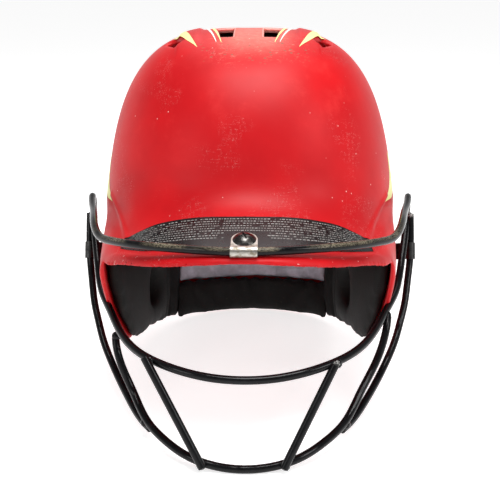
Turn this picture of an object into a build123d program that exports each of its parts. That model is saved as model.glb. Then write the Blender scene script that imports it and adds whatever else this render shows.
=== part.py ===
# Batting helmet: moulded shell with bill and ear flaps, foam pads inside, and a
# welded wire face guard held by one clip on the bill and one on each flap.
#
# Everything is drawn in the wearer's frame in millimetres: X to the side, the
# front towards -Y, Z up, Z = 0 at the tips of the ear flaps. The finished set is
# then tipped back so that it stands on its chin bar and its nape rim.
from build123d import *
import math
import os

os.makedirs("parts", exist_ok=True)

# ---- driving dimensions ------------------------------------------------------
WALL = 3.5                 # shell wall
CROWN_TOP = 225.0          # highest point of the crown
BAND_Z = 104.0             # height where the crown starts to close in
HALF_W = 106.0             # half width at the band
HALF_L = 110.0             # half length at the band
MID_Y = 7.0                # centre of the band, behind the ears' plane
LEAN = 0.13                # how fast the sides lean in above the band
TAPER_Z, TAPER = 75.0, 0.15    # the sides draw in below this height
BILL_R = 136.0             # arch of the bill from side to side
BILL_LIP = (164.0, 78.8)   # forward reach and height of the lip's top edge
BILL_SLOPE = 25.6          # degrees below level
RIDGE_IN, RIDGE_OUT, RIDGE_H = 34.0, 49.0, 1.8
EAR_HOLE = (-8.0, 34.0, 11.0)  # forward, height, radius
VENT_F = (18.0, 48.0)      # how far forward the top vents run
WIRE_R = 2.6               # coated guard wire
STRAP = 0.9                # clip band
SCREW_R = 2.5
HOLE_R = 2.6
GAP = 0.4                  # clearance between pads and shell
TIP_BACK = 10.17           # degrees, standing on the chin bar and the nape


def head(x, forward, z):
    """A point given as side, forward reach and height."""
    return (x, -forward, z)


# ---- crown -------------------------------------------------------------------
def crown_half_axes(z, inset=0.0):
    """Half width and half length of the crown's section at height z."""
    t = max(0.0, (z - BAND_Z) / (CROWN_TOP - BAND_Z - inset))
    lean = LEAN * max(0.0, z - BAND_Z)
    side = (1 - t ** 3.3) ** (1 / 3.3)
    length = (1 - t ** 2.5) ** (1 / 2.5)
    return (HALF_W - lean - inset) * side, (HALF_L - inset) * length


def draw_in(x, y, z):
    """Taper towards the flap tips, and less towards the nape."""
    s = 1 - TAPER * (max(0.0, TAPER_Z - z) / 70) ** 2.2
    return x * s, (y * (1 - 0.4 * (1 - s)) if y > 0 else y)


def crown_section(z, inset, power=2.2, count=32):
    a, b = crown_half_axes(z, inset)
    pts = []
    for i in range(count):
        u = 2 * math.pi * i / count
        c, s = math.cos(u), math.sin(u)
        x = a * math.copysign(abs(c) ** (2 / power), c)
        y = MID_Y + b * math.copysign(abs(s) ** (2 / power), s)
        pts.append((*draw_in(x, y, z), z))
    return closed_wire(pts)


def closed_wire(pts):
    return Wire([Edge.make_spline([Vector(*p) for p in pts], periodic=True)])


def crown_solid(inset=0.0, foot=-16.0):
    top = CROWN_TOP - inset
    heights = [z for z in (-16, 4, 24, 42, 58, 75, 90) if z >= foot] + [BAND_Z]
    heights += [BAND_Z + (top - BAND_Z) * k for k in
                (0.18, 0.36, 0.52, 0.66, 0.77, 0.86, 0.925, 0.965, 0.988)]
    return Solid.make_loft([crown_section(z, inset) for z in heights] + [Vertex(0, MID_Y, top)])


# ---- cheeks and bill ---------------------------------------------------------
# Half of the plan, lip centre first: lip, bill corner, cheek, and a close inside the crown.
CHEEK_PLAN = [(0, 164), (24, 161.5), (44, 153.6), (60, 141.5), (72, 128.5), (83, 114.5),
              (92, 103), (98, 90), (100.5, 74), (103, 50), (105, 28), (105.3, 13),
              (103.5, -1), (97, -14), (80, -24), (45, -31), (0, -33)]


def inset_ring(ring, inset):
    n, out = len(ring), []
    for i, (x, y) in enumerate(ring):
        (ax, ay), (bx, by) = ring[i - 1], ring[(i + 1) % n]
        dx, dy = bx - ax, by - ay
        length = math.hypot(dx, dy)
        out.append((x - dy / length * inset, y + dx / length * inset))
    return out


def cheek_section(z, inset):
    half = [(x, -f) for x, f in CHEEK_PLAN]
    ring = half + [(-x, y) for x, y in half[-2:0:-1]]
    return closed_wire([(*draw_in(x, y, z), z) for x, y in inset_ring(ring, inset)])


def bill_cylinder(inset=0.0):
    """The sloping cylinder whose surface is the bill."""
    fall = math.radians(BILL_SLOPE)
    along = Vector(0, -math.cos(fall), -math.sin(fall))
    up = Vector(0, -math.sin(fall), math.cos(fall))
    start = Vector(*head(0, *BILL_LIP)) - up * BILL_R - along * 260
    plane = Plane(origin=start, x_dir=Vector(1, 0, 0), z_dir=along)
    return plane * Cylinder(BILL_R - inset, 320, align=(Align.CENTER, Align.CENTER, Align.MIN))


def cheek_solid(inset=0.0):
    heights = (-16, 4, 24, 42, 58, 75, 100, 130)
    return Solid.make_loft([cheek_section(z, inset) for z in heights]) & bill_cylinder(inset)


# ---- cutting shapes ----------------------------------------------------------
def side_prism(points, x0=-150, x1=150):
    """A prism across X over an outline given as (forward, height)."""
    face = make_face(Plane.YZ * Polyline(*[(-f, z) for f, z in points], close=True))
    return Pos(x0, 0, 0) * extrude(face, x1 - x0, dir=(1, 0, 0))


def rim_prism(curve):
    """Everything below a smooth rim line."""
    edge = Plane.YZ * Spline(*[(-f, z) for f, z in curve])
    (f0, z0), (f1, z1) = curve[0], curve[-1]
    line = Plane.YZ * Polyline((-f1, z1), (-f1, -60), (-200, -60), (-200, z0), (-f0, z0))
    return Pos(-150, 0, 0) * extrude(make_face([edge, line]), 300, dir=(1, 0, 0))


def front_box(half_x, z0, z1, y0, y1):
    return Pos(0, (y0 + y1) / 2, (z0 + z1) / 2) * Box(2 * half_x, y1 - y0, z1 - z0)


# Rim: from the bill corner down the flap's front edge, and back to the nape.
RIM = [(90, 66), (85, 56), (76, 42), (67, 28), (58, 15), (46, 5), (30, 2.2), (8, 2),
       (-14, 3), (-40, 5), (-70, 3), (-95, -3), (-130, -7)]
ARCH_R, ARCH_Z = 151.0, -1.6   # shallow arch in the nape rim

# ---- shell -------------------------------------------------------------------
shell = crown_solid() + cheek_solid()
ridge_stock = crown_solid(-RIDGE_H, foot=58.0)
for side in (-1, 1):
    band = Pos(side * (RIDGE_IN + RIDGE_OUT) / 2, 8, 172) * Box(
        RIDGE_OUT - RIDGE_IN, 190, 90, align=(Align.CENTER, Align.CENTER, Align.MIN))
    shell = shell + (ridge_stock & band)
shell = shell - crown_solid(WALL) - cheek_solid(WALL) - rim_prism(RIM)
below_bill = side_prism([(90, 40), (200, 40), (200, 120), (90, 120)]) & bill_cylinder(WALL)
shell = shell - below_bill
shell = shell - Pos(0, 110, ARCH_Z - ARCH_R) * Rot(90, 0, 0) * Cylinder(ARCH_R, 80)
ear_f, ear_z, ear_r = EAR_HOLE
shell = shell - Pos(0, -ear_f, ear_z) * Rot(0, 90, 0) * Cylinder(ear_r, 300)
for side in (-1, 1):
    slot = Polyline((side * 10.9, -VENT_F[0]), (side * 22.4, -VENT_F[0]),
                    (side * 18.6, -VENT_F[1]), (side * 10.9, -VENT_F[1]), close=True)
    shell = shell - Pos(0, 0, 190) * extrude(make_face(slot), 50)
    oval = Pos(side * 51, -35, 185) * Rot(0, 0, side * 25) * extrude(SlotOverall(19, 6.4, rotation=90), 60)
    shell = shell - oval

# ---- pads --------------------------------------------------------------------
pad_out = crown_solid(WALL + GAP) + cheek_solid(WALL + GAP)


def pad_layer(thick):
    return pad_out - crown_solid(WALL + GAP + thick) - cheek_solid(WALL + GAP + thick)


EAR_PAD = [(74, 64), (60, 70), (20, 76), (-50.4, 78), (-50.4, -3), (-40, -1.5), (-14, 0), (8, 1),
           (30, 2), (44, 5.5), (55, 16), (63, 28), (70, 42)]
SIDE_PAD = [(-51, 78), (-88, 78), (-88, -4.5), (-70, -3), (-51, -1)]
EAR_FACE = ((78, 87), (40, 79), (-50.4, 64))   # the ear pad's inner face, from front to back
thin_layer = pad_layer(13)
ear_bore = Pos(0, -ear_f, ear_z) * Rot(0, 90, 0) * Cylinder(ear_r + 3, 300)
PAD_SPLIT = 62.0           # the rear pads end here and the side pads start
ear_pads, side_pads = {}, {}
for name, side in (("left", -1), ("right", 1)):
    x0, x1 = sorted((side * 20, side * 150))
    plan = Polyline(*[(side * x, -f) for f, x in EAR_FACE], (side * 150, 50.4), (side * 150, -78), close=True)
    beyond = Pos(0, 0, -20) * extrude(make_face(plan), 130, dir=(0, 0, 1))
    ear_pads[name] = pad_out & side_prism(EAR_PAD, x0, x1) & (beyond - ear_bore)
    x0, x1 = sorted((side * PAD_SPLIT, side * 150))
    side_pads[name] = thin_layer & side_prism(SIDE_PAD, x0, x1)
rear_lower = thin_layer & front_box(PAD_SPLIT - 0.5, -3.5, 22, 60, 130)
rear_upper = pad_layer(9) & front_box(PAD_SPLIT - 0.5, 23, 80, 60, 130)
forehead = thin_layer & front_box(58, 108, 142, -130, -40)
crown_pad = thin_layer & front_box(40, 150, 230, -12, 75)

# ---- guard wires -------------------------------------------------------------
# The loop's right half with a little past the middle at each end: top bar, bend beside the ear, nose bar.
LOOP = [(-39, 152, 84), (-20, 158.9, 83.8), (0, 162, 83.7), (20, 158.9, 83.8), (39, 152, 84), (61, 140, 84.1), (84.5, 116, 83.8), (94.5, 101, 84.6),
        (101.3, 83, 89.3), (109, 45, 96.3), (114.8, 18, 102.4), (116, 9, 102.6),
        (116, 6.5, 96), (114.8, 12, 85), (112.6, 21, 73), (109.6, 31, 60), (103.2, 53, 41.7),
        (93.6, 76, 31.7), (82.6, 103, 22.7), (71.2, 124, 17), (56.5, 141, 13.2),
        (39, 151.5, 9.6), (20, 157.6, 7), (0, 159.6, 6.1), (-20, 157.6, 7), (-39, 151.5, 9.6)]
STRUT = [(117.9, 11, 91), (118.1, 13.5, 74), (117.4, 17.5, 58), (115.1, 24, 43),
         (112.2, 32, 28), (108.4, 39, 16), (103.6, 48, 4), (96.6, 59, -8), (88.6, 72, -18.5),
         (79.6, 89, -27), (66.5, 112, -35.8), (61.5, 119, -37.6)]
CHIN = [(0, 158, -49.7), (25, 154.5, -47), (34, 150.5, -44.8), (50.5, 137, -38.7),
        (65, 118.5, -30.2), (75, 104.5, -16)]
CHIN_LEFT = [(81.5, 102, -2), (86.6, 96.5, 16.8)]
CHIN_RIGHT = [(86.5, 92.5, 2.5), (92.6, 86, 20), (94.3, 80.6, 28.3)]
VERTICALS = {"left": ((-61, 146.5, 16.5), (-25, 160, -48.5)),
             "right": ((55, 146.5, 12.5), (24, 160, -48.5))}


def wire(points):
    path = Edge.make_spline([Vector(*head(*p)) for p in points])
    start = Plane(origin=path @ 0, z_dir=path % 0)
    return sweep(start * Circle(WIRE_R), path=path)


def flip(points):
    return [(-x, f, z) for x, f, z in points]


half_loop = wire(LOOP) & Pos(100, 0, 50) * Box(200, 500, 300)
guard_loop = half_loop + mirror(half_loop, Plane.YZ)
chin_bar = wire(flip(CHIN_LEFT)[::-1] + flip(CHIN)[:0:-1] + CHIN + CHIN_RIGHT)
struts = {"left": wire(flip(STRUT)), "right": wire(STRUT)}
verticals = {}
for name, (a, b) in VERTICALS.items():
    pa, pb = Vector(*head(*a)), Vector(*head(*b))
    verticals[name] = Plane(origin=pa, z_dir=pb - pa) * Cylinder(
        WIRE_R, (pb - pa).length, align=(Align.CENTER, Align.CENTER, Align.MIN))

WELD_AT = [(-58, 143.5, 14), (56.5, 143, 12.5), (-26, 157, -47.5), (25, 157, -47.5),
           (-86, 97, 18), (93.8, 79, 29), (-64.8, 118.6, -33.8), (64, 119, -34),
           (-116.8, 9.5, 89), (116.8, 9.5, 89)]
welds = [Pos(*head(*p)) * Sphere(3.1) for p in WELD_AT]

# ---- bill clip and screw -----------------------------------------------------
CLIP_W, TAB_T = 15.9, 1.7
SCREW_F = 146.5
fall = math.radians(BILL_SLOPE)
bill_at = Plane(origin=head(0, SCREW_F, BILL_LIP[1] + (BILL_LIP[0] - SCREW_F) * math.tan(fall)),
                x_dir=(1, 0, 0), z_dir=(0, -math.sin(fall), math.cos(fall)))
bar_y, bar_z = -15.5, 3.54     # the top bar seen from the screw, in the clip's own plane


def rod(radius, z0, z1):
    return Pos(0, 0, z0) * Cylinder(radius, z1 - z0, align=(Align.CENTER, Align.CENTER, Align.MIN))


def pan_head(radius, height, z0):
    dome = (radius ** 2 + height ** 2) / (2 * height)
    cap = Pos(0, 0, z0 + height - dome) * Sphere(dome) & rod(radius, z0, z0 + height)
    for turn in (0, 90):
        cap = cap - Pos(0, 0, z0 + height) * Rot(0, 0, turn + 20) * Box(1.1, 7, 3.2)
    return cap


ring = Pos(0, bar_y, bar_z) * Rot(0, 90, 0) * (
    Cylinder(WIRE_R + 0.05 + STRAP, CLIP_W) - Cylinder(WIRE_R + 0.05, CLIP_W + 1))
tab = Pos(0, bar_y / 2 + 1, 0.4 + TAB_T / 2) * Box(CLIP_W, -bar_y - 2, TAB_T) + \
    rod(CLIP_W / 2, 0.4, 0.4 + TAB_T) - Pos(0, bar_y, bar_z) * Rot(0, 90, 0) * Cylinder(WIRE_R + 0.05, 30)
bill_clip = bill_at * (ring + tab - rod(HOLE_R, -2, 6))
bill_screw = bill_at * (pan_head(7.1, 3.4, 0.45 + TAB_T) + rod(SCREW_R, -9.5, 0.6 + TAB_T))
bill_washer = bill_at * (rod(6.5, -4.7, -3.7) - rod(HOLE_R, -6, -3))
hexagon = extrude(RegularPolygon(4.6, 6), 3.6)
bill_nut = bill_at * (Pos(0, 0, -8.4) * hexagon - rod(HOLE_R, -9, -4))
shell = shell - bill_at * rod(HOLE_R, -8, 4)

# The patch lies on the bill from the crease to the top bar, round the clip.
PATCH = [(-79, 99), (-81, 107), (-70, 127), (-55, 141), (-34, 151), (-14, 155.5), (0, 156.5),
         (14, 155.5), (34, 151), (55, 141), (70, 127), (81, 107), (79, 99), (61, 104.3), (42, 111.8),
         (14, 119.3), (0, 120.4), (-14, 119.3), (-42, 111.8), (-61, 104.3)]
outline = make_face(Spline(*[(x, -f) for x, f in PATCH[:13]]) +
                    Spline(*[(x, -f) for x, f in PATCH[12:] + PATCH[:1]]))
patch = (bill_cylinder(-0.35) - bill_cylinder(-0.03)) & extrude(Pos(0, 0, 60) * outline, 70, dir=(0, 0, 1))
patch = patch - bill_at * Pos(0, bar_y / 2 - 4, 0) * Box(CLIP_W + 0.6, -bar_y + 8, 12) \
    - bill_at * rod(CLIP_W / 2 + 0.3, -4, 4) - bill_at * rod(HOLE_R + 3, -4, 4)

# ---- side clips and screws ---------------------------------------------------
SIDE_AT = (117.75, 15.8, 64.0)     # on the strut
SIDE_W = 12.0
side_clips, side_screws, side_nuts = {}, [], []
strut_tilt = 12.0                  # degrees, the strut's lean at the clip
shell_x = HALF_W - 0.55            # the flap's face at the side screw
for name, side in (("left", -1), ("right", 1)):
    grip = Plane(origin=head(side * SIDE_AT[0], SIDE_AT[1], SIDE_AT[2]), x_dir=(side, 0, 0),
                 z_dir=(0, math.sin(math.radians(strut_tilt)), math.cos(math.radians(strut_tilt))))
    drop = SIDE_AT[0] - shell_x    # from the strut's centre to the flap
    band = Cylinder(WIRE_R + 0.1 + STRAP, SIDE_W) - Cylinder(WIRE_R + 0.1, SIDE_W + 2)
    t = TAB_T
    inner = -(drop - 0.5)
    back = 1 if side > 0 else -1   # rearwards along the grip's own y
    strip = [(-2.9, back * 1.0), (inner + t, back * 9.0), (inner + t, back * 17.5), (inner, back * 17.5),
             (inner, back * 8.2), (-3.4 - t * 0.6, back * 0.6)]
    foot_plate = Pos(inner + t / 2, back * 17.0, 0) * Rot(0, 90, 0) * Cylinder(SIDE_W / 2, t)
    web = extrude(make_face(Polyline(*strip, close=True)), SIDE_W / 2, both=True)
    eye = Pos(0, back * 17.0, 0) * Rot(0, 90, 0)
    clip = band + (web - Cylinder(WIRE_R + 0.1, SIDE_W + 2)) + foot_plate - eye * Cylinder(HOLE_R, 60)
    side_clips[name] = grip * clip
    screw = pan_head(5.5, 2.6, inner + t + 0.05) + rod(SCREW_R, inner - 8.2, inner + t + 0.2)
    side_screws.append(grip * eye * screw)
    nut = rod(6.0, inner - 6.2, inner - 5.0) + rod(3.9, inner - 8.2, inner - 6.2) - rod(HOLE_R, inner - 9, inner)
    side_nuts.append(grip * eye * nut)
    shell = shell - grip * eye * rod(HOLE_R, inner - 9, inner + 4)
    ear_pads[name] = ear_pads[name] - grip * eye * rod(8.5, inner - 11, inner + 4)

# ---- stand it up and write it out --------------------------------------------
nodes = {
    "shell": shell, "bill_patch": patch, "forehead_pad": forehead, "crown_pad": crown_pad,
    "rear_upper_pad": rear_upper, "rear_lower_pad": rear_lower,
    "ear_pad_left": ear_pads["left"], "ear_pad_right": ear_pads["right"],
    "side_pad_left": side_pads["left"], "side_pad_right": side_pads["right"],
    "guard_loop": guard_loop, "chin_bar": chin_bar,
    "strut_left": struts["left"], "strut_right": struts["right"],
    "vertical_left": verticals["left"], "vertical_right": verticals["right"],
    "guard_welds": Compound(children=welds),
    "bill_clip": bill_clip, "bill_screw": bill_screw, "bill_washer": bill_washer, "bill_nut": bill_nut,
    "side_clip_left": side_clips["left"], "side_clip_right": side_clips["right"],
    "side_screws": Compound(children=side_screws), "side_nuts": Compound(children=side_nuts),
}
tipped = {name: Rot(-TIP_BACK, 0, 0) * shape for name, shape in nodes.items()}
boxes = [shape.bounding_box() for shape in tipped.values()]
low = [min(tuple(b.min)[i] for b in boxes) for i in range(3)]
high = [max(tuple(b.max)[i] for b in boxes) for i in range(3)]
stand = Pos(-(low[0] + high[0]) / 2, -(low[1] + high[1]) / 2, -low[2])
for name, shape in tipped.items():
    placed = stand * shape
    export_step(placed, f"parts/{name}.step")
    b = placed.bounding_box()
    print(name, round(shape.volume), len(shape.solids()), "z0 %.2f" % b.min.Z)
print("size", [round(b - a, 2) for a, b in zip(low, high)], "shift", stand.position)
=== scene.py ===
"""Looks for the batting helmet: the shell, its paint, the pads and the materials.

The shell is a level set in the wearer's frame in millimetres: x to the side,
y to the back, z up, with z = 0 at the tips of the ear flaps.
"""
import math

import bpy
import numpy as np
from mathutils import Matrix, Vector


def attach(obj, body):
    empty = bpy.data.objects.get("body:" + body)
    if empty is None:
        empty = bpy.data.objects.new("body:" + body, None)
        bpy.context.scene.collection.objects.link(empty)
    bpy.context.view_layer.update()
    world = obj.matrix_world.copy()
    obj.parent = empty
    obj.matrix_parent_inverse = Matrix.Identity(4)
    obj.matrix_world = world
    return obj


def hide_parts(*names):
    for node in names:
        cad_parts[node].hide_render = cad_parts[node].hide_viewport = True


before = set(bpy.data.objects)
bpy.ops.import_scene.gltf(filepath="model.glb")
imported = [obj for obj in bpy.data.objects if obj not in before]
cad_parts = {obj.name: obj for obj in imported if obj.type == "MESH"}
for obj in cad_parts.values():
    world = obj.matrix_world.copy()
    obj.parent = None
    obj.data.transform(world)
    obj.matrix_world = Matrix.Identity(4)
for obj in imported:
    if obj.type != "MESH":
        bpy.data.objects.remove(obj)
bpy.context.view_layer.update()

# ---- the wearer's frame in the row frame ---------------------------------------
TIP_BACK = math.radians(10.17)
STAND = Vector((0, 0.0153446, 0.0236427))
TO_ROW = Matrix.Translation(STAND) @ Matrix.Rotation(-TIP_BACK, 4, "X") @ Matrix.Scale(0.001, 4)
TO_HEAD = TO_ROW.inverted()

# ---- shell dimensions, the same as the CAD's -----------------------------------
WALL = 3.5
CROWN_TOP, BAND_Z = 225.0, 104.0
HALF_W, HALF_L, MID_Y = 106.0, 110.0, 7.0
LEAN = 0.13
TAPER_Z, TAPER = 75.0, 0.15
BILL_R, BILL_LIP, BILL_SLOPE = 136.0, (164.0, 78.8), math.radians(25.6)
RIDGE_IN, RIDGE_OUT, RIDGE_H = 34.0, 49.0, 1.8
EAR_HOLE = (-8.0, 34.0, 11.0)
CHEEK_PLAN = [(0, 164), (24, 161.5), (44, 153.6), (60, 141.5), (72, 128.5), (83, 114.5),
              (92, 103), (98, 90), (100.5, 74), (103, 50), (105, 28), (105.3, 13),
              (103.5, -1), (97, -14), (80, -24), (45, -31), (0, -33)]
# The crease from the side stripe's tip to the end of the label, as (side, y, z).
SIDE_CREASE = [(96, -44, 107.5), (91.5, -56, 100.5), (86.6, -68, 94.5), (81.5, -84, 87.5), (78.2, -98, 82.8)]
RIM = [(90, 66), (85, 56), (76, 42), (67, 28), (58, 15), (46, 5), (30, 2.2), (8, 2),
       (-14, 3), (-40, 5), (-70, 3), (-95, -3), (-130, -7)]
ARCH_R, ARCH_Z = 151.0, -1.6


# ---- small maths ----------------------------------------------------------------
def smoothstep(t, lo, hi):
    t = np.clip((t - lo) / (hi - lo), 0, 1)
    return t * t * (3 - 2 * t)


def smin(a, b, k):
    h = np.maximum(k - np.abs(a - b), 0) / k
    return np.minimum(a, b) - h * h * k / 4


def smax(a, b, k):
    return -smin(-a, -b, k)


def curve_through(points, closed=False, per=12):
    """A centripetal Catmull-Rom curve through 2-D points."""
    p = np.array(points, float)
    n = len(p)
    if closed:
        p = np.vstack([p[-1], p, p[:2]])
        spans = n
    else:
        p = np.vstack([2 * p[0] - p[1], p, 2 * p[-1] - p[-2]])
        spans = n - 1
    out = []
    for i in range(spans):
        a, b, c, d = p[i:i + 4]
        t0 = 0.0
        t1 = t0 + np.linalg.norm(b - a) ** 0.5
        t2 = t1 + np.linalg.norm(c - b) ** 0.5
        t3 = t2 + np.linalg.norm(d - c) ** 0.5
        for t in np.linspace(t1, t2, per, endpoint=False):
            ab = (t1 - t) / (t1 - t0) * a + (t - t0) / (t1 - t0) * b
            bc = (t2 - t) / (t2 - t1) * b + (t - t1) / (t2 - t1) * c
            cd = (t3 - t) / (t3 - t2) * c + (t - t2) / (t3 - t2) * d
            abc = (t2 - t) / (t2 - t0) * ab + (t - t0) / (t2 - t0) * bc
            bcd = (t3 - t) / (t3 - t1) * bc + (t - t1) / (t3 - t1) * cd
            out.append((t2 - t) / (t2 - t1) * abc + (t - t1) / (t2 - t1) * bcd)
    if not closed:
        out.append(p[-2])
    return np.array(out)


class Map2D:
    """Signed distance to a 2-D outline, read by bilinear lookup."""

    def __init__(self, outline, lo, hi, inside, closed=True, step=1.5):
        self.lo, self.step = np.array(lo, float), step
        self.n = (np.ceil((np.array(hi) - self.lo) / step)).astype(int) + 1
        u = self.lo[0] + step * np.arange(self.n[0])
        v = self.lo[1] + step * np.arange(self.n[1])
        uu, vv = np.meshgrid(u, v, indexing="ij")
        best = np.full(uu.shape, 1e9)
        a = np.array(outline)
        b = np.roll(a, -1, axis=0) if closed else a[1:]
        for p, q in zip(a, b):
            d = q - p
            t = np.clip(((uu - p[0]) * d[0] + (vv - p[1]) * d[1]) / max(d @ d, 1e-9), 0, 1)
            best = np.minimum(best, (uu - p[0] - t * d[0]) ** 2 + (vv - p[1] - t * d[1]) ** 2)
        self.d = np.sqrt(best) * np.where(inside(uu, vv), -1, 1)

    def __call__(self, u, v):
        gu = np.clip((u - self.lo[0]) / self.step, 0, self.n[0] - 1.001)
        gv = np.clip((v - self.lo[1]) / self.step, 0, self.n[1] - 1.001)
        i, j = gu.astype(np.int32), gv.astype(np.int32)
        fu, fv = gu - i, gv - j
        d = self.d
        return ((d[i, j] * (1 - fu) + d[i + 1, j] * fu) * (1 - fv)
                + (d[i, j + 1] * (1 - fu) + d[i + 1, j + 1] * fu) * fv)


def in_polygon(poly):
    def test(u, v):
        hit = np.zeros(u.shape, bool)
        q = np.roll(poly, -1, axis=0)
        for (x0, y0), (x1, y1) in zip(poly, q):
            if y0 != y1:
                hit ^= ((y0 > v) != (y1 > v)) & (u < (x1 - x0) * (v - y0) / (y1 - y0) + x0)
        return hit
    return test


half = np.array([(x, -f) for x, f in CHEEK_PLAN])
plan_curve = curve_through(np.vstack([half, half[-2:0:-1] * (-1, 1)]), closed=True)
cheek_map = Map2D(plan_curve, (-150, -190), (150, 60), in_polygon(plan_curve))
rim_curve = curve_through([(-f, z) for f, z in RIM])
rim_line = np.vstack([(-220, 66), rim_curve, (150, -9)])
rim_sorted = rim_line[np.argsort(rim_line[:, 0])]
rim_map = Map2D(rim_line, (-200, -40), (150, 240), closed=False,
                inside=lambda y, z: z < np.interp(y, rim_sorted[:, 0], rim_sorted[:, 1]))


# ---- the shell's level set -------------------------------------------------------
def undraw(x, y, z):
    """Undoes the taper towards the flap tips and the nape."""
    s = 1 - TAPER * (np.maximum(0.0, TAPER_Z - z) / 70) ** 2.2
    return x / s, np.where(y > 0, y / (1 - 0.4 * (1 - s)), y)


def crown(x, y, z, inset=0.0):
    x, y = undraw(x, y, z)
    a = HALF_W - LEAN * np.maximum(0, z - BAND_Z) - inset
    up = np.maximum(0, z - BAND_Z)
    t = up / (CROWN_TOP - BAND_Z - inset)
    u, v = np.abs(x) / a, np.abs(y - MID_Y) / (HALF_L - inset)
    n = 2.5 + 0.8 * u * u / (u * u + v * v + 1e-9)
    f = ((u ** 2.2 + v ** 2.2 + 1e-12) ** (n / 2.2) + t ** n) ** (1 / n)
    reach = np.sqrt(x * x + (y - MID_Y) ** 2 + up * up) + 1e-6
    return (f - 1) * reach / np.maximum(f, 0.15)


def bill(x, y, z):
    """Distance above the bill's sloping cylinder."""
    across = np.array([math.sin(BILL_SLOPE), math.cos(BILL_SLOPE)])
    dy, dz = y + BILL_LIP[0], z - BILL_LIP[1]
    up = -dy * across[0] + dz * across[1] + BILL_R
    return np.sqrt(x * x + up * up) - BILL_R


def cheeks(x, y, z, inset=0.0):
    px, py = undraw(x, y, z)
    side = cheek_map(px, py) + inset
    corner = 2.6 + 7.0 * smoothstep(np.abs(x), 72, 98) * (inset == 0)
    return smax(side, bill(x, y, z) + inset, corner), side


def outer(x, y, z):
    body = crown(x, y, z)
    ridge = (smoothstep(np.abs(x), RIDGE_IN - 2, RIDGE_IN + 2)
             * (1 - smoothstep(np.abs(x), RIDGE_OUT - 1, RIDGE_OUT + 1.5)))
    fade = smoothstep(y, -66, -34) * (1 - smoothstep(y, 70, 104)) * smoothstep(z, 120, 150)
    body = body - RIDGE_H * ridge * fade
    cheek, side = cheeks(x, y, z)
    bead = smoothstep(side, -5.5, -3.0) * smoothstep(-y, 92, 108)
    cheek = cheek - 0.6 * bead
    solid = smin(body, cheek, 1.5 + 18 * smoothstep(-side, 1, 26))
    near = (np.abs(x) > 68) & (y < -36) & (y > -108) & (z > 70) & (z < 116)
    if near.any():
        solid = solid - np.where(near, 1.1 * np.exp(-crease_gap(np.abs(x), y, z) / 3.2), 0)
    return solid


def crease_gap(x, y, z):
    """Squared distance to the side crease."""
    best = np.full(np.shape(x), 1e9)
    for p, q in zip(SIDE_CREASE, SIDE_CREASE[1:]):
        p, d = np.array(p, float), np.array(q, float) - p
        t = np.clip(((x - p[0]) * d[0] + (y - p[1]) * d[1] + (z - p[2]) * d[2]) / (d @ d), 0, 1)
        best = np.minimum(best, (x - p[0] - t * d[0]) ** 2 + (y - p[1] - t * d[1]) ** 2 + (z - p[2] - t * d[2]) ** 2)
    return best


def inner(x, y, z):
    cheek, side = cheeks(x, y, z, WALL)
    return smin(crown(x, y, z, WALL), cheek, 1.5 + 14 * smoothstep(-side, 1, 26))


def slot2d(x, y, cx, cy, half_len, r, turn=0.0):
    c, s = math.cos(turn), math.sin(turn)
    u, v = (x - cx) * c + (y - cy) * s, -(x - cx) * s + (y - cy) * c
    return np.hypot(u, np.maximum(np.abs(v) - half_len, 0)) - r


def trapezoid(x, y):
    """The central vents, wider at the back."""
    along = np.abs(y + 33) - 15
    outer_edge = 18.6 + 4.2 * (y + 48) / 30
    wide = np.maximum(10.9 - np.abs(x), np.abs(x) - outer_edge)
    return smax(along, wide, 2.5)


def shell(x, y, z):
    cavity = np.maximum(inner(x, y, z), -(y + 97))
    f = np.maximum(outer(x, y, z), -cavity)
    f = smax(f, -rim_map(y, z), 2.2)
    under = smax(y + 90, bill(x, y, z) + WALL - 1.2 * smoothstep(-y, 96, 125), 2.0)
    f = smax(f, -under, 1.4)
    arch = np.hypot(x, z - (ARCH_Z - ARCH_R)) - ARCH_R
    f = np.where(y > 40, smax(f, -arch, 1.6), f)
    ear = np.hypot(y + EAR_HOLE[0], z - EAR_HOLE[1]) - EAR_HOLE[2]
    f = smax(f, -ear, 3.0)
    vents = np.minimum(trapezoid(x, y), slot2d(np.abs(x), y, 51, -35, 6.3, 3.2, math.radians(-25)))
    return np.where(z > 150, smax(f, -vents, 3.0), f)


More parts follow.
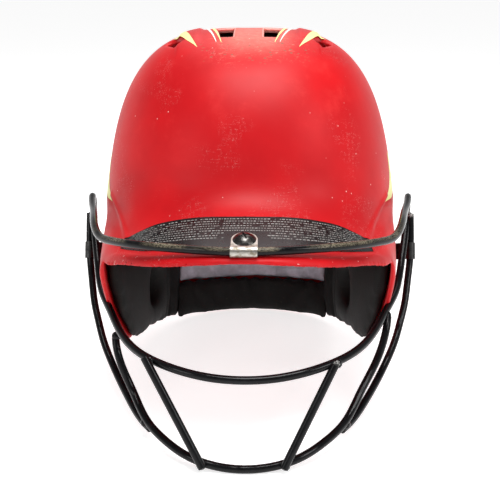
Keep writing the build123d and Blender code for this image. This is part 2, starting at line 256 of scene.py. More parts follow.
# ---- level set to mesh -----------------------------------------------------------
def surface_nets(func, lo, hi, step, polish=4):
    """Vertices and quads on func = 0, by naive surface nets and a few Newton steps."""
    n = [int(math.ceil((b - a) / step)) + 1 for a, b in zip(lo, hi)]
    axes = [a + step * np.arange(m, dtype=np.float64) for a, m in zip(lo, n)]
    f = np.empty(n, np.float32)
    xx, yy = np.meshgrid(axes[0], axes[1], indexing="ij")
    for k, z in enumerate(axes[2]):
        f[:, :, k] = func(xx, yy, np.full(xx.shape, z))
    neg = f < 0
    count = np.zeros([m - 1 for m in n], np.int8)
    corners = [(i, j, k) for i in (0, 1) for j in (0, 1) for k in (0, 1)]
    cut = lambda arr, c: arr[c[0]:n[0] - 1 + c[0], c[1]:n[1] - 1 + c[1], c[2]:n[2] - 1 + c[2]]
    for c in corners:
        count += cut(neg, c)
    live = (count > 0) & (count < 8)
    idx = np.argwhere(live)
    index = np.full(live.shape, -1, np.int64)
    index[live] = np.arange(len(idx))
    total, hits = np.zeros((len(idx), 3)), np.zeros(len(idx))
    for a in range(3):
        for c in corners:
            if c[a]:
                continue
            d = list(c); d[a] = 1
            fa = f[tuple((idx + c).T)].astype(float)
            fb = f[tuple((idx + d).T)].astype(float)
            cross = (fa < 0) != (fb < 0)
            t = np.where(cross, fa / np.where(cross, fa - fb, 1), 0)
            p = np.array(c, float) + np.outer(t, np.eye(3)[a])
            total += p * cross[:, None]
            hits += cross
    verts = np.array(lo) + step * (idx + total / hits[:, None])
    quads = []
    for a in range(3):
        b, c = (a + 1) % 3, (a + 2) % 3
        lo_n, hi_n = [slice(None)] * 3, [slice(None)] * 3
        lo_n[a], hi_n[a] = slice(0, -1), slice(1, None)
        s0, s1 = neg[tuple(lo_n)], neg[tuple(hi_n)]
        for flip, mask in ((False, s0 & ~s1), (True, ~s0 & s1)):
            e = np.argwhere(mask)
            e = e[(e[:, b] > 0) & (e[:, c] > 0) & (e[:, b] < n[b] - 1) & (e[:, c] < n[c] - 1)]
            ring = []
            for ob, oc in ((0, 0), (1, 0), (1, 1), (0, 1)):
                q = e.copy(); q[:, b] -= ob; q[:, c] -= oc
                ring.append(index[tuple(q.T)])
            ring = np.stack(ring, 1)
            quads.append(ring[:, ::-1] if flip else ring)
    quads = np.vstack(quads)
    for _ in range(polish):
        verts -= newton(func, verts, 0.9)
    return verts, quads


def gradient(func, p, h=0.15):
    x, y, z = p.T
    f = func(x, y, z)
    g = np.stack([func(x + h, y, z) - func(x - h, y, z), func(x, y + h, z) - func(x, y - h, z),
                  func(x, y, z + h) - func(x, y, z - h)], 1) / (2 * h)
    return f, g


def newton(func, p, gain):
    f, g = gradient(func, p)
    step = f[:, None] * g / np.maximum((g * g).sum(1), 0.05)[:, None]
    size = np.linalg.norm(step, axis=1)
    return step * (gain * np.minimum(1, 0.8 / np.maximum(size, 1e-9)))[:, None]


def unit(v):
    return v / np.maximum(np.linalg.norm(v, axis=1), 1e-9)[:, None]


def to_row(points):
    m = np.array(TO_ROW)
    return points @ m[:3, :3].T + m[:3, 3]


def new_object(name, verts, faces, material, smooth=True):
    """A mesh from head-frame points, placed in the row frame."""
    mesh = bpy.data.meshes.new(name)
    mesh.from_pydata([tuple(v) for v in to_row(np.asarray(verts, float))], [],
                     [tuple(int(i) for i in q) for q in faces])
    mesh.validate()
    mesh.materials.append(material)
    mesh.polygons.foreach_set("use_smooth", [smooth] * len(mesh.polygons))
    obj = bpy.data.objects.new(name, mesh)
    bpy.context.collection.objects.link(obj)
    return obj


# ---- materials -------------------------------------------------------------------
class Nodes:
    """A short way to write a node tree."""

    def __init__(self, name):
        self.mat = bpy.data.materials.new(name)
        self.mat.use_nodes = True
        self.tree = self.mat.node_tree
        self.bsdf = self.tree.nodes["Principled BSDF"]

    def add(self, kind, **inputs):
        node = self.tree.nodes.new(kind)
        for key, value in inputs.items():
            key = key.replace("_", " ") if not key.startswith("i") or not key[1:].isdigit() else int(key[1:])
            self.set(node, key, value)
        return node

    def set(self, node, key, value):
        if hasattr(value, "is_output"):
            self.tree.links.new(value, node.inputs[key])
        else:
            node.inputs[key].default_value = value

    def place(self):
        """Position in the wearer's frame in millimetres."""
        geo = self.add("ShaderNodeTexCoord")
        turn = self.add("ShaderNodeMapping")
        turn.inputs["Scale"].default_value = (1000, 1000, 1000)
        self.set(turn, "Vector", geo.outputs["Object"])
        shift = tuple(-1000 * c for c in STAND)
        move = self.add("ShaderNodeVectorMath", i0=turn.outputs[0])
        move.operation = "ADD"
        move.inputs[1].default_value = shift
        spin = self.add("ShaderNodeVectorRotate", Vector=move.outputs[0])
        spin.rotation_type = "X_AXIS"
        spin.inputs["Angle"].default_value = TIP_BACK
        return spin.outputs[0]

    def xyz(self, vector):
        return self.add("ShaderNodeSeparateXYZ", Vector=vector).outputs

    def scaled(self, vector, scale):
        m = self.add("ShaderNodeVectorMath", i0=vector)
        m.operation = "MULTIPLY"
        m.inputs[1].default_value = scale
        return m.outputs[0]

    def noise(self, vector, scale, detail=4.0, rough=0.6, distort=0.0):
        n = self.add("ShaderNodeTexNoise", Vector=vector, Scale=scale, Detail=detail,
                     Roughness=rough, Distortion=distort)
        return n.outputs["Fac"]

    def voronoi(self, vector, scale, feature="F1"):
        n = self.tree.nodes.new("ShaderNodeTexVoronoi")
        n.feature = feature
        self.set(n, "Vector", vector)
        n.inputs["Scale"].default_value = scale
        return n.outputs["Distance"]

    def math(self, op, a, b=0.0, clamp=False):
        m = self.tree.nodes.new("ShaderNodeMath")
        m.operation, m.use_clamp = op, clamp
        self.set(m, 0, a)
        self.set(m, 1, b)
        return m.outputs[0]

    def band(self, value, lo, hi):
        """0 below lo, 1 above hi, smooth between."""
        m = self.tree.nodes.new("ShaderNodeMapRange")
        m.interpolation_type = "SMOOTHSTEP"
        self.set(m, "Value", value)
        m.inputs["From Min"].default_value, m.inputs["From Max"].default_value = lo, hi
        return m.outputs[0]

    def mix(self, fac, a, b):
        m = self.tree.nodes.new("ShaderNodeMix")
        m.data_type = "RGBA"
        self.set(m, 0, fac)
        for socket, value in ((6, a), (7, b)):
            self.set(m, socket, (*value, 1) if isinstance(value, tuple) else value)
        return m.outputs[2]

    def bump(self, height, strength, distance=0.0005, normal=None):
        b = self.add("ShaderNodeBump", Strength=strength, Distance=distance, Height=height)
        if normal is not None:
            self.set(b, "Normal", normal)
        return b.outputs[0]

    def finish(self, color, roughness, normal=None, metallic=0.0, **constants):
        self.set(self.bsdf, "Base Color", (*color, 1) if isinstance(color, tuple) else color)
        self.set(self.bsdf, "Roughness", roughness)
        self.set(self.bsdf, "Metallic", metallic)
        if normal is not None:
            self.set(self.bsdf, "Normal", normal)
        for key, value in constants.items():
            self.bsdf.inputs[key.replace("_", " ")].default_value = value
        return self.mat


RED = (0.56, 0.004, 0.007)
RED_DEEP = (0.45, 0.003, 0.006)
RED_SHEEN = (0.72, 0.050, 0.045)
WHITE_CHIP = (0.80, 0.68, 0.64)
DIRT = (0.20, 0.10, 0.06)


def red_shell():
    n = Nodes("red_shell")
    p = n.place()
    x, y, z = n.xyz(p)
    cloud = n.noise(p, 0.018, 3.0, 0.5)
    color = n.mix(n.band(cloud, 0.35, 0.7), RED_DEEP, RED)
    # Painted sheen: pale red mixed in by a noise, growing up the crown from z 95 to 170; the same noise also varies the
    # roughness.
    mottle = n.noise(p, 0.05, 6.0, 0.7)
    high = n.band(z, 95, 170)
    color = n.mix(n.math("MULTIPLY", n.band(mottle, 0.50, 0.75), n.math("MULTIPLY", high, 0.22)), color, RED_SHEEN)
    # Long fine scratches, at two slants.
    marks = None
    for slant in ((0.9, 0.06, 0.25), (0.10, 0.5, 0.9)):
        line = n.noise(n.scaled(p, slant), 0.9, 2.0, 0.5)
        near = n.math("SUBTRACT", 1.0, n.band(n.math("ABSOLUTE", n.math("SUBTRACT", line, 0.62)), 0.0, 0.006))
        where = n.band(n.noise(p, 0.03, 2.0, 0.5), 0.52, 0.64)
        near = n.math("MULTIPLY", near, where)
        marks = near if marks is None else n.math("MAXIMUM", marks, near)
    color = n.mix(n.math("MULTIPLY", marks, 0.30), color, WHITE_CHIP)
    # Small nicks, few over most of the crown.
    nick = n.math("SUBTRACT", 1.0, n.band(n.voronoi(n.scaled(p, (1, 1, 0.7)), 0.19), 0.03, 0.085))
    nick = n.math("MULTIPLY", nick, n.band(n.noise(p, 0.045, 2.0, 0.5), 0.52, 0.60))
    color = n.mix(n.math("MULTIPLY", nick, 0.8), color, WHITE_CHIP)
    # Pitted, dirty band across the front of the crown.
    front = n.math("MULTIPLY", n.band(z, 192, 203), n.math("SUBTRACT", 1.0, n.band(z, 212, 221)))
    front = n.math("MULTIPLY", front,
                   n.math("SUBTRACT", 1.0, n.band(n.math("ABSOLUTE", n.math("ADD", x, -6.0)), 24, 46)))
    front = n.math("MULTIPLY", front, n.math("SUBTRACT", 1.0, n.band(y, -35, -10)))
    pits = n.math("SUBTRACT", 1.0, n.band(n.voronoi(n.scaled(p, (0.7, 1, 1)), 0.30), 0.14, 0.30))
    pits = n.math("MULTIPLY", pits, n.band(n.noise(p, 0.10, 3.0, 0.6), 0.46, 0.58))
    pits = n.math("MULTIPLY", pits, front)
    # Painted sheen: a pale, mottled patch at the top centre of the crown.
    top = n.math("MULTIPLY", n.band(z, 196, 216),
                 n.math("SUBTRACT", 1.0, n.band(n.math("ABSOLUTE", n.math("ADD", x, -4.0)), 8, 34)))
    top = n.math("MULTIPLY", top, n.math("SUBTRACT", 1.0, n.band(y, -20, 10)))
    top_sheen = n.math("MULTIPLY", top, n.math("ADD", 0.25, n.math("MULTIPLY", n.noise(p, 0.30, 6.0, 0.7), 0.9)))
    color = n.mix(n.math("MULTIPLY", top_sheen, 0.45), color, (0.86, 0.42, 0.32))
    # Grazes and dirty pits in the front band.
    graze = n.math("MULTIPLY", n.band(n.noise(n.scaled(p, (0.5, 1, 1.6)), 0.34, 6.0, 0.75), 0.56, 0.70), front)
    color = n.mix(n.math("MULTIPLY", graze, 0.45), color, (0.80, 0.36, 0.26))
    color = n.mix(n.math("MULTIPLY", pits, 0.85), color, DIRT)
    # Pale bevel round the central vents.
    side_x = n.math("ABSOLUTE", x)
    edge = n.math("MAXIMUM", n.math("SUBTRACT", 10.9, side_x),
                  n.math("SUBTRACT", side_x, n.math("ADD", 25.3, n.math("MULTIPLY", y, 0.14))))
    edge = n.math("MAXIMUM", edge, n.math("SUBTRACT", n.math("ABSOLUTE", n.math("ADD", y, 33.0)), 15.0))
    edge = n.math("SUBTRACT", n.band(edge, 0.2, 0.7), n.band(edge, 1.2, 1.8))
    edge = n.math("MULTIPLY", edge, n.band(z, 188, 194))
    color = n.mix(n.math("MULTIPLY", edge, 0.55), color, (0.86, 0.50, 0.44))
    # White rubbed chips along the lip's edge.
    lip = n.math("SUBTRACT", 1.0, n.band(z, 76, 82))
    lip = n.math("MULTIPLY", lip, n.math("SUBTRACT", 1.0, n.band(y, -112, -100)))
    chips = n.band(n.noise(n.scaled(p, (0.5, 1, 1)), 0.35, 4.0, 0.7), 0.66, 0.69)
    color = n.mix(n.math("MULTIPLY", n.math("MULTIPLY", chips, lip), 0.85), color, WHITE_CHIP)
    rough = n.math("ADD", 0.34, n.math("MULTIPLY", mottle, 0.20))
    rough = n.math("ADD", rough, n.math("MULTIPLY", front, 0.12))
    grain = n.noise(p, 1.4, 3.0, 0.6)
    relief = n.math("SUBTRACT", n.math("MULTIPLY", grain, 0.06),
                    n.math("ADD", n.math("MULTIPLY", pits, 0.5), n.math("MULTIPLY", nick, 0.4)))
    relief = n.math("SUBTRACT", relief, n.math("MULTIPLY", marks, 0.15))
    return n.finish(color, rough, n.bump(relief, 0.5, 0.0006), Specular_IOR_Level=0.21)


shell_mat = red_shell()


def simple(name, color, rough, metallic=0.0, noise_scale=0.3, vary=0.15):
    n = Nodes(name)
    p = n.place()
    m = n.noise(p, noise_scale, 5.0, 0.6)
    dark = tuple(c * (1 - vary) for c in color)
    return n.finish(n.mix(m, dark, color), n.math("ADD", rough - 0.05, n.math("MULTIPLY", m, 0.12)),
                    n.bump(n.noise(p, noise_scale * 6, 3.0, 0.6), 0.2, 0.0003), metallic)


# ---- shell ----------------------------------------------------------------------
STEP = 1.25
verts, quads = surface_nets(shell, (-114, -170, -14), (114, 124, 230), STEP)
shell_obj = new_object("helmet_shell", verts, quads, shell_mat)
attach(shell_obj, "root")
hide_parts("shell")

# ---- paint and label, laid on the shell ---------------------------------------------
def drop_on(func, points, axis, lift, rounds=7):
    """Slides points along an axis on to func = 0, and lifts them off it."""
    p = np.array(points, float)
    for _ in range(rounds):
        f, g = gradient(func, p)
        slope = np.where(np.abs(g[:, axis]) < 0.15, np.sign(g[:, axis] + 1e-9) * 0.15, g[:, axis])
        p[:, axis] -= np.clip(f / slope, -6, 6)
    _, g = gradient(func, p)
    return p + unit(g) * lift


def strip_mesh(name, edge_a, edge_b, axis, start, material, lift=0.14, along=40, across=6, flat=(0, 1)):
    """A painted stripe between two edges drawn in a plane, dropped on the shell."""
    a = resample(curve_through(edge_a), along)
    b = resample(curve_through(edge_b), along)
    pts = []
    for i in range(along):
        for j in range(across):
            q = a[i] + (b[i] - a[i]) * j / (across - 1)
            p = [start, start, start]
            p[flat[0]], p[flat[1]] = q
            pts.append(p)
    pts = drop_on(outer, pts, axis, lift)
    faces = [(i * across + j, i * across + j + 1, (i + 1) * across + j + 1, (i + 1) * across + j)
             for i in range(along - 1) for j in range(across - 1)]
    return laid_on(name, pts, faces, material)


def laid_on(name, pts, faces, material):
    a, b, c = (pts[k] for k in faces[len(faces) // 2][:3])
    if np.dot(np.cross(b - a, c - a), unit(gradient(outer, np.array([a]))[1])[0]) < 0:
        faces = [f[::-1] for f in faces]
    obj = new_object(name, pts, faces, material)
    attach(obj, "root")
    return obj


def resample(curve, count):
    run = np.concatenate([[0], np.cumsum(np.linalg.norm(np.diff(curve, axis=0), axis=1))])
    t = np.linspace(0, run[-1], count)
    return np.stack([np.interp(t, run, curve[:, k]) for k in range(curve.shape[1])], 1)


pale_yellow = simple("paint_yellow", (0.86, 0.80, 0.30), 0.42, noise_scale=0.12, vary=0.12)
white_paint = simple("paint_white", (0.86, 0.80, 0.76), 0.45, noise_scale=0.12, vary=0.12)
SPEAR_IN = [(45.8, -15), (42.4, -32), (38.6, -46), (34.2, -58)]
SPEAR_OUT = [(53.5, -23), (47.6, -34.5), (42.3, -46), (34.3, -58.1)]
PIN_WHITE = ([(31.6, -13), (27.4, -34), (21.7, -56)], [(29.4, -13), (25.8, -34), (21.3, -56)])
PIN_YELLOW = ([(27.8, -13), (24.0, -34), (18.2, -57)], [(25.6, -13), (22.3, -34), (17.8, -57)])
SIDE_STRIPE_IN = [(-26, 137), (-27.5, 124), (-36, 112), (-50, 103.3)]
SIDE_STRIPE_OUT = [(-25.5, 137), (-13, 122), (-24, 107), (-50, 102.8)]


def flipped(edge, s):
    return [(s * a, b) for a, b in edge]


for side, tag in ((1, "right"), (-1, "left")):
    strip_mesh("spear_" + tag, flipped(SPEAR_IN, side), flipped(SPEAR_OUT, side), 2, 220, pale_yellow)
    strip_mesh("pin_white_" + tag, flipped(PIN_WHITE[0], side), flipped(PIN_WHITE[1], side), 2, 220, white_paint)
    strip_mesh("pin_yellow_" + tag, flipped(PIN_YELLOW[0], side), flipped(PIN_YELLOW[1], side), 2, 220, pale_yellow)
    strip_mesh("side_stripe_" + tag, SIDE_STRIPE_IN, SIDE_STRIPE_OUT, 0, side * 104, pale_yellow, flat=(1, 2))

LABEL_TOP = [(-79, -98.5), (-61, -104.3), (-42, -111.8), (-14, -119.3), (0, -120.4),
             (14, -119.3), (42, -111.8), (61, -104.3), (79, -98.5)]
LABEL_LOW = [(-82, -103.5), (-73, -116.5), (-57, -133), (-34, -145.5), (-14, -150.5), (0, -151.3),
             (14, -150.5), (34, -145.5), (57, -133), (73, -117.5), (82, -106)]


def label_point(u, v):
    """u from -1 to 1 across the bill, v from 0 at the back edge to 1 at the front."""
    x = u * (79 + 2 * v)
    top = np.interp(x, [p[0] for p in label_top], [p[1] for p in label_top])
    low = np.interp(x, [p[0] for p in label_low], [p[1] for p in label_low])
    return x, top + (low - top) * v


label_top, label_low = curve_through(LABEL_TOP), curve_through(LABEL_LOW)
vinyl = simple("black_vinyl", (0.005, 0.005, 0.0055), 0.27, noise_scale=0.2, vary=0.4)
vinyl.node_tree.nodes["Principled BSDF"].inputs["Specular IOR Level"].default_value = 0.3
pts, faces, NU, NV = [], [], 120, 26
for i in range(NU + 1):
    for j in range(NV + 1):
        px, py = label_point(2 * i / NU - 1, j / NV)
        pts.append((px, py, 95.0))
for i in range(NU):
    for j in range(NV):
        k = i * (NV + 1) + j
        faces.append((k, k + 1, k + NV + 2, k + NV + 1))
label = laid_on("bill_label", drop_on(outer, pts, 2, 0.22), faces, vinyl)
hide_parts("bill_patch")

dash_ink = simple("dash_ink", (0.42, 0.41, 0.39), 0.6, noise_scale=0.5, vary=0.6)
rng = np.random.default_rng(7)
pts, faces = [], []
ROWS = 9
for row in range(ROWS):
    v = 0.075 + 0.078 * row
    u, end = -0.93 + 0.012 * row, 0.93 - 0.012 * row
    while u < end:
        long = rng.uniform(0.006, 0.024)
        skip = row > 5 and abs(u) < 0.17
        worn = rng.random() < 0.10
        if not skip and not worn:
            k = len(pts)
            high = 0.011 * rng.uniform(0.75, 1.25)
            for uu, vv in ((u, v - high), (u, v + high), (u + long, v + high), (u + long, v - high)):
                px, py = label_point(uu, vv)
                pts.append((px, py, 95.0))
            faces.append((k, k + 1, k + 2, k + 3))
        u += long + rng.uniform(0.006, 0.011)
dashes = laid_on("label_dashes", drop_on(outer, pts, 2, 0.30), faces, dash_ink)

# ---- pads ------------------------------------------------------------------------
def to_head(points):
    m = np.array(TO_HEAD)
    return points @ m[:3, :3].T + m[:3, 3]


def baked(obj):
    """The object's mesh with its modifiers applied."""
    graph = bpy.context.evaluated_depsgraph_get()
    mesh = bpy.data.meshes.new_from_object(obj.evaluated_get(graph))
    old, obj.data = obj.data, mesh
    obj.modifiers.clear()
    bpy.data.meshes.remove(old)


def points_of(obj):
    co = np.empty(len(obj.data.vertices) * 3)
    obj.data.vertices.foreach_get("co", co)
    return co.reshape(-1, 3)


def set_points(obj, co):
    obj.data.vertices.foreach_set("co", co.ravel())
    obj.data.update()


def normals_of(obj):
    n = np.empty(len(obj.data.vertices) * 3)
    obj.data.vertex_normals.foreach_get("vector", n)
    return n.reshape(-1, 3)


def soft_pad(node, material, voxel=0.004, inset=0.0008, cap=0.004, rounds=8, shape=None):
    """The node's own mesh, remeshed and swollen by cloth pressure, kept inside the shell."""
    obj = bpy.data.objects.new(node + "_foam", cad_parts[node].data.copy())
    bpy.context.collection.objects.link(obj)
    obj.data.materials.clear()
    mod = obj.modifiers.new("remesh", "REMESH")
    mod.mode, mod.voxel_size, mod.adaptivity = "VOXEL", voxel, 0.0
    mod = obj.modifiers.new("round", "SMOOTH")
    mod.factor, mod.iterations = 0.5, rounds
    baked(obj)
    set_points(obj, points_of(obj) - normals_of(obj) * inset)
    start = points_of(obj)
    cloth = obj.modifiers.new("cloth", "CLOTH")
    cloth.settings.use_pressure = True
    cloth.settings.uniform_pressure_force = 4.0
    cloth.settings.effector_weights.gravity = 0.0
    cloth.point_cache.frame_start, cloth.point_cache.frame_end = 1, 20
    for f in range(1, 21):
        bpy.context.scene.frame_set(f)
    baked(obj)
    bpy.context.scene.frame_set(1)
    move = points_of(obj) - start
    far = np.linalg.norm(move, axis=1, keepdims=True)
    set_points(obj, start + move * np.minimum(1, cap / np.maximum(far, 1e-9)))
    sub = obj.modifiers.new("sub", "SUBSURF")
    sub.levels = sub.render_levels = 1
    baked(obj)
    p, n = to_head(points_of(obj)), normals_of(obj) @ np.array(TO_HEAD.to_3x3().normalized()).T
    if shape is not None:
        p = shape(p, n)
    for _ in range(3):
        f, g = gradient(inner, p)
        p -= unit(g) * np.maximum(f + 0.5, 0)[:, None]
    set_points(obj, to_row(p))
    obj.data.materials.append(material)
    obj.data.polygons.foreach_set("use_smooth", [True] * len(obj.data.polygons))
    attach(obj, "root")
    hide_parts(node)
    return obj


def groove(value, at, width, depth):
    return depth * np.exp(-((value - at) / width) ** 2)


def ear_shape(p, n):
    """A sewn line up the inner face near its back edge, with a lip beside it."""
    x, y, z = p.T
    side = np.sign(x)
    face = np.clip(-n[:, 0] * side, 0, 1)
    cut = groove(y, 33 - 0.1 * (z - 40), 1.8, 1.6) + groove(z, 66, 1.9, 1.1)
    ridge = 0.9 * np.exp(-((y - 37.5 + 0.1 * (z - 40)) / 2.0) ** 2)
    swell = 1.3 * np.sin(np.clip((z - 2) / 66, 0, 1) * math.pi) - 0.6
    q = p + n * (face * (swell + ridge - cut))[:, None]
    q[:, 2] -= 2.2 * smoothstep(16 - z, 0, 12) * smoothstep(-y, 0, 25)
    return q


def side_shape(p, n):
    """The rear edge drawn out to meet the rear pads."""
    q = p.copy()
    q[:, 0] -= np.sign(p[:, 0]) * 0.9 * (1 - smoothstep(np.abs(p[:, 0]), 62, 72))
    return q


def rear_shape(p, n):
    """Two lobes, with small crimps along the top edge."""
    x, y, z = p.T
    face = np.clip(-n[:, 1], 0, 1)
    crimp = 0.8 * np.sin(x * 2 * math.pi / 9.5) * smoothstep(z, 14, 22)
    lobe = 1.2 * np.cos(np.clip(np.abs(np.abs(x) - 27) / 27, 0, 1) * math.pi / 2)
    q = p + n * (face * (lobe - groove(x, 0, 3.5, 2.0)) + crimp * np.clip(n[:, 2], 0, 1))[:, None]
    q[:, 2] += 1.6 * smoothstep(z, 8, 22)
    q[:, 0] += np.sign(x) * 0.9 * smoothstep(np.abs(x), 50, 61)
    return q


def crown_shape(p, n):
    """Sewn channels from front to back."""
    x, y, z = p.T
    face = np.clip(-n[:, 2], 0, 1)
    cut = groove(x, -14, 2.0, 1.8) + groove(x, 14, 2.0, 1.8) + groove(y, 30, 2.2, 1.6)
    return p - n * (face * cut)[:, None]


def foam(name, color, worn, rough, patch=None):
    n = Nodes(name)
    p = n.place()
    x, y, z = n.xyz(p)
    weave = n.math("MULTIPLY", n.math("SINE", n.math("MULTIPLY", n.math("ADD", y, x), 5.2)),
                   n.math("SINE", n.math("MULTIPLY", n.math("SUBTRACT", z, x), 5.2)))
    cloud = n.noise(p, 0.06, 5.0, 0.65)
    tone = n.mix(n.band(cloud, 0.38, 0.72), color, tuple(c * 1.7 for c in color))
    dust = n.band(n.noise(p, 0.35, 5.0, 0.7), 0.60, 0.74)
    tone = n.mix(n.math("MULTIPLY", dust, 0.35), tone, worn)
    if patch is not None:
        (cx, cy, cz), size = patch
        far = n.add("ShaderNodeVectorMath", i0=p)
        far.operation = "SUBTRACT"
        far.inputs[1].default_value = (cx, cy, cz)
        near = n.scaled(far.outputs[0], tuple(1 / c for c in size))
        gap = n.tree.nodes.new("ShaderNodeVectorMath")
        gap.operation = "LENGTH"
        n.set(gap, 0, near)
        spot = n.math("SUBTRACT", 1.0, n.band(gap.outputs["Value"], 0.4, 1.0))
        spot = n.math("MULTIPLY", spot, n.band(n.noise(p, 0.22, 5.0, 0.7), 0.42, 0.66))
        tone = n.mix(n.math("MULTIPLY", spot, 0.6), tone, worn)
    lift = n.math("ADD", n.math("MULTIPLY", weave, 0.30), n.math("MULTIPLY", n.noise(p, 0.5, 4.0, 0.6), 0.8))
    return n.finish(tone, n.math("ADD", rough, n.math("MULTIPLY", cloud, 0.15)), n.bump(lift, 0.45, 0.0006),
                    Specular_IOR_Level=0.22)


black_foam = foam("black_foam", (0.0055, 0.0055, 0.0052), (0.075, 0.058, 0.036), 0.60,
                  patch=((70, -4, 40), (14, 26, 24)))
grey_foam = foam("grey_foam", (0.36, 0.35, 0.40), (0.25, 0.24, 0.26), 0.75)
for side in ("left", "right"):
    soft_pad("ear_pad_" + side, black_foam, voxel=0.0045, cap=0.005, rounds=7, shape=ear_shape)
    soft_pad("side_pad_" + side, black_foam, voxel=0.0035, cap=0.003, rounds=2, inset=0.0003,
             shape=side_shape)
soft_pad("rear_lower_pad", black_foam, voxel=0.003, cap=0.003, rounds=2, inset=0.0002, shape=rear_shape)
soft_pad("rear_upper_pad", grey_foam, voxel=0.003, cap=0.0025, rounds=1, inset=0.0002)
soft_pad("forehead_pad", black_foam, voxel=0.0035, cap=0.003, rounds=8)
soft_pad("crown_pad", black_foam, voxel=0.0035, cap=0.003, rounds=8, shape=crown_shape)


# ---- guard and hardware materials --------------------------------------------------
def spot_mask(n, p, at, radius):
    far = n.add("ShaderNodeVectorMath", i0=p)
    far.operation = "DISTANCE"
    far.inputs[1].default_value = at
    return n.math("SUBTRACT", 1.0, n.band(far.outputs["Value"], radius * 0.55, radius))


def wire_paint():
    n = Nodes("wire_paint")
    p = n.place()
    x, y, z = n.xyz(p)
    up = n.xyz(n.add("ShaderNodeNewGeometry").outputs["Normal"])[2]
    grit = n.noise(p, 0.9, 5.0, 0.7)
    streak = n.noise(n.scaled(p, (0.30, 1, 1)), 1.6, 6.0, 0.75)
    patchy = n.band(n.noise(p, 0.035, 2.0, 0.5), 0.36, 0.60)
    worn = n.math("MULTIPLY", n.math("MULTIPLY", n.band(streak, 0.40, 0.60), patchy), n.band(up, 0.05, 0.75))
    bar = n.math("MULTIPLY", n.band(z, 78, 81), n.math("SUBTRACT", 1.0, n.band(y, -125, -70)))
    worn = n.math("MULTIPLY", worn, bar)
    rare = n.math("MULTIPLY", n.band(grit, 0.70, 0.74), n.band(n.noise(p, 0.05, 2.0, 0.5), 0.48, 0.6))
    bright = None
    for at, radius in (((117, -8, 103), 6.5), ((118, -12, 92), 4.5), ((-116, -8, 103), 3.5),
                       ((-116.5, -9, 90), 3.0), ((-60, -146, 15), 2.5), ((56, -146, 13), 2.5),
                       ((-25, -160, -49), 2.5), ((24, -160, -49), 2.5)):
        near = n.math("MULTIPLY", spot_mask(n, p, at, radius), n.band(grit, 0.46, 0.56))
        bright = near if bright is None else n.math("MAXIMUM", bright, near)
    color = n.mix(n.band(n.noise(p, 0.12, 4.0, 0.6), 0.3, 0.8), (0.003, 0.003, 0.0035), (0.008, 0.008, 0.009))
    color = n.mix(n.math("MULTIPLY", worn, 0.85), color, (0.27, 0.23, 0.155))
    color = n.mix(n.math("MULTIPLY", rare, 0.6), color, (0.30, 0.27, 0.22))
    color = n.mix(n.math("MULTIPLY", bright, 0.65), color, (0.60, 0.60, 0.58))
    rough = n.math("ADD", 0.08, n.math("MULTIPLY", worn, 0.35))
    lift = n.math("SUBTRACT", n.math("MULTIPLY", n.noise(p, 0.35, 3.0, 0.5), 0.5),
                  n.math("MULTIPLY", n.math("MAXIMUM", worn, bright), 0.5))
    return n.finish(color, n.math("ADD", rough, n.math("MULTIPLY", grit, 0.09)), n.bump(lift, 0.14, 0.0004),
                    Specular_IOR_Level=0.17)


def worn_metal(name, light, dark, rough, metallic=1.0):
    n = Nodes(name)
    p = n.place()
    brush = n.noise(n.scaled(p, (0.3, 1.2, 1.2)), 1.3, 4.0, 0.6)
    grime = n.band(n.noise(p, 0.30, 5.0, 0.7), 0.42, 0.66)
    color = n.mix(grime, light, dark)
    color = n.mix(n.math("MULTIPLY", brush, 0.3), color, tuple(c * 0.6 for c in light))
    return n.finish(color, n.math("ADD", rough, n.math("MULTIPLY", grime, 0.22)), n.bump(brush, 0.35, 0.0003), metallic)


guard_paint = wire_paint()
clip_steel = worn_metal("clip_steel", (0.46, 0.44, 0.40), (0.20, 0.165, 0.115), 0.30)
screw_steel = worn_metal("screw_steel", (0.11, 0.105, 0.10), (0.035, 0.03, 0.028), 0.20)
side_steel = worn_metal("side_steel", (0.07, 0.07, 0.07), (0.02, 0.02, 0.02), 0.30)
bright_screw = worn_metal("side_screw_steel", (0.62, 0.62, 0.60), (0.35, 0.33, 0.30), 0.25)
for nodes, mat in ((("guard_loop", "chin_bar", "strut_left", "strut_right", "vertical_left", "vertical_right",
                     "guard_welds"), guard_paint),
                   (("bill_clip",), clip_steel), (("bill_screw",), screw_steel),
                   (("bill_washer", "bill_nut", "side_nuts", "side_screws"), bright_screw),
                   (("side_clip_left", "side_clip_right"), side_steel)):
    for node in nodes:
        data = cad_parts[node].data
        if not data.materials:
            data.materials.append(mat)
        for k in range(len(data.materials)):
            data.materials[k] = mat

# ---- camera, light, floor -----------------------------------------------------------
CAM_DIST, CAM_UP, CAM_YAW, LOOK_Z, FOCAL_PX = 716.0, math.radians(8.0), math.radians(1.3), 62.0, 952.0
reach = CAM_DIST * math.cos(CAM_UP)
eye = Vector((reach * math.sin(CAM_YAW), -reach * math.cos(CAM_YAW), LOOK_Z + CAM_DIST * math.sin(CAM_UP)))
look = Vector((0, 0, LOOK_Z))
back = (eye - look).normalized()
right = Vector((0, 0, 1)).cross(back).normalized()
axes = Matrix((right, back.cross(right), back)).transposed().to_4x4()
cam_data = bpy.data.cameras.new("camera")
cam_data.sensor_width = 36
cam_data.lens = 36 * FOCAL_PX / 500
cam = bpy.data.objects.new("camera", cam_data)
bpy.context.collection.objects.link(cam)
spin = TO_ROW.to_3x3().normalized().to_4x4()
cam.matrix_world = Matrix.Translation(TO_ROW @ eye) @ spin @ axes
bpy.context.scene.camera = cam


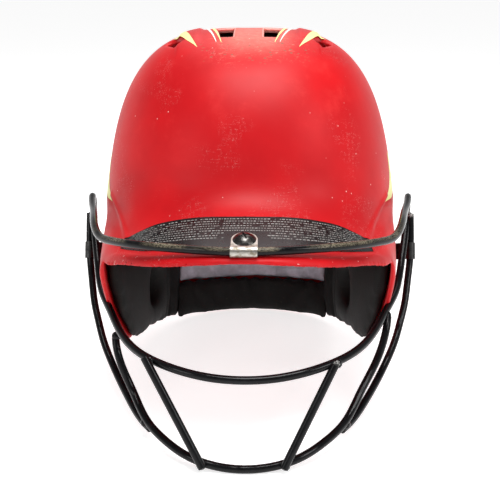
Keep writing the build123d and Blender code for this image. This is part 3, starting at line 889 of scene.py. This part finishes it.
def area_light(name, at, size, power, color=(1, 1, 1), aim=(0, 0, 0.13)):
    data = bpy.data.lights.new(name, "AREA")
    data.shape, data.size, data.size_y = "RECTANGLE", size[0], size[1]
    data.energy, data.color = power, color
    obj = bpy.data.objects.new(name, data)
    bpy.context.collection.objects.link(obj)
    obj.location = at
    obj.rotation_euler = (Vector(aim) - Vector(at)).to_track_quat("-Z", "Y").to_euler()
    return obj


area_light("key", (0.10, -0.25, 1.20), (0.60, 0.60), 13.0, aim=(0, -0.05, 0.16))
area_light("left", (-0.9, -0.9, 0.65), (0.3, 0.5), 2.0)
area_light("right", (0.95, -0.6, 0.85), (0.4, 0.4), 4.0)
area_light("back", (0.0, 0.75, 1.1), (0.9, 0.6), 5.0)

world = bpy.data.worlds.new("studio")
world.use_nodes = True
sky = world.node_tree
height = sky.nodes.new("ShaderNodeSeparateXYZ")
sky.links.new(sky.nodes.new("ShaderNodeTexCoord").outputs["Generated"], height.inputs[0])
fall_off = sky.nodes.new("ShaderNodeMapRange")
fall_off.interpolation_type = "SMOOTHSTEP"
for key, value in (("From Min", 0.08), ("From Max", 0.45), ("To Min", 0.93), ("To Max", 0.24)):
    fall_off.inputs[key].default_value = value
sky.links.new(height.outputs[2], fall_off.inputs["Value"])
sky.links.new(fall_off.outputs[0], sky.nodes["Background"].inputs[1])
sky.nodes["Background"].inputs[0].default_value = (1.0, 1.0, 1.0, 1)
bpy.context.scene.world = world
bpy.context.scene.view_settings.view_transform = "Standard"

TURNS, FLOOR_R = 64, 9.0
floor_mesh = bpy.data.meshes.new("floor")
floor_mesh.from_pydata([(FLOOR_R * math.cos(2 * math.pi * k / TURNS), FLOOR_R * math.sin(2 * math.pi * k / TURNS), 0)
                        for k in range(TURNS)], [], [tuple(range(TURNS))])
floor = bpy.data.objects.new("floor", floor_mesh)
bpy.context.collection.objects.link(floor)
paper = simple("floor_paper", (0.72, 0.72, 0.72), 0.9, noise_scale=0.02, vary=0.02)
glow = paper.node_tree.nodes["Principled BSDF"]
glow.inputs["Specular IOR Level"].default_value = 0.0
glow.inputs["Emission Color"].default_value = (1, 1, 1, 1)
glow.inputs["Emission Strength"].default_value = 0.74
floor_mesh.materials.append(paper)
